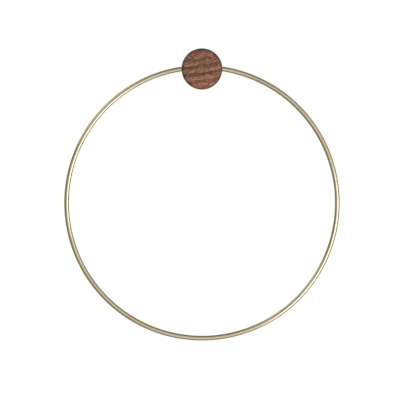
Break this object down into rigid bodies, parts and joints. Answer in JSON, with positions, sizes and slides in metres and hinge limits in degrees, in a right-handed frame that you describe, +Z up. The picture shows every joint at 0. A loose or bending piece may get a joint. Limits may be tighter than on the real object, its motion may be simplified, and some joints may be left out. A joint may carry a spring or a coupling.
{
  "type": "towel ring",
  "caption": "Wall-mounted towel ring: a slim round brass hoop that swings from a round turned hardwood knob.",
  "frame": {"origin": "centre of the knob's back face, on the wall", "axes": "+X to the right as seen from the room, +Y into the wall, +Z up; the hoop hangs down and the room is on the -Y side"},
  "size_m": [0.23, 0.07, 0.2437],
  "materials": {
    "satin_brass": "satin brushed",
    "dark_wood": "oiled, matte",
    "bush_brass": "turned",
    "turned_steel": "turned",
    "black_steel": "blackened",
    "zinc_steel": "zinc plated",
    "grey_nylon": "moulded"
  },
  "bodies": {
    "wall_knob": {"knob": "dark_wood", "bush_left": "bush_brass", "bush_right": "bush_brass", "wall_boss": "turned_steel", "grub_insert": "bush_brass", "grub_screw": "black_steel", "wall_screw": "zinc_steel", "wall_plug": "grey_nylon"},
    "ring": {"hoop": "satin_brass"}
  },
  "joints": [
    {"name": "ring_swing", "type": "hinge", "parent": "wall_knob", "child": "ring", "pos_m": [0, -0.022, 0], "axis": [-1, 0, 0], "range_deg": [-5, 174]}
  ]
}
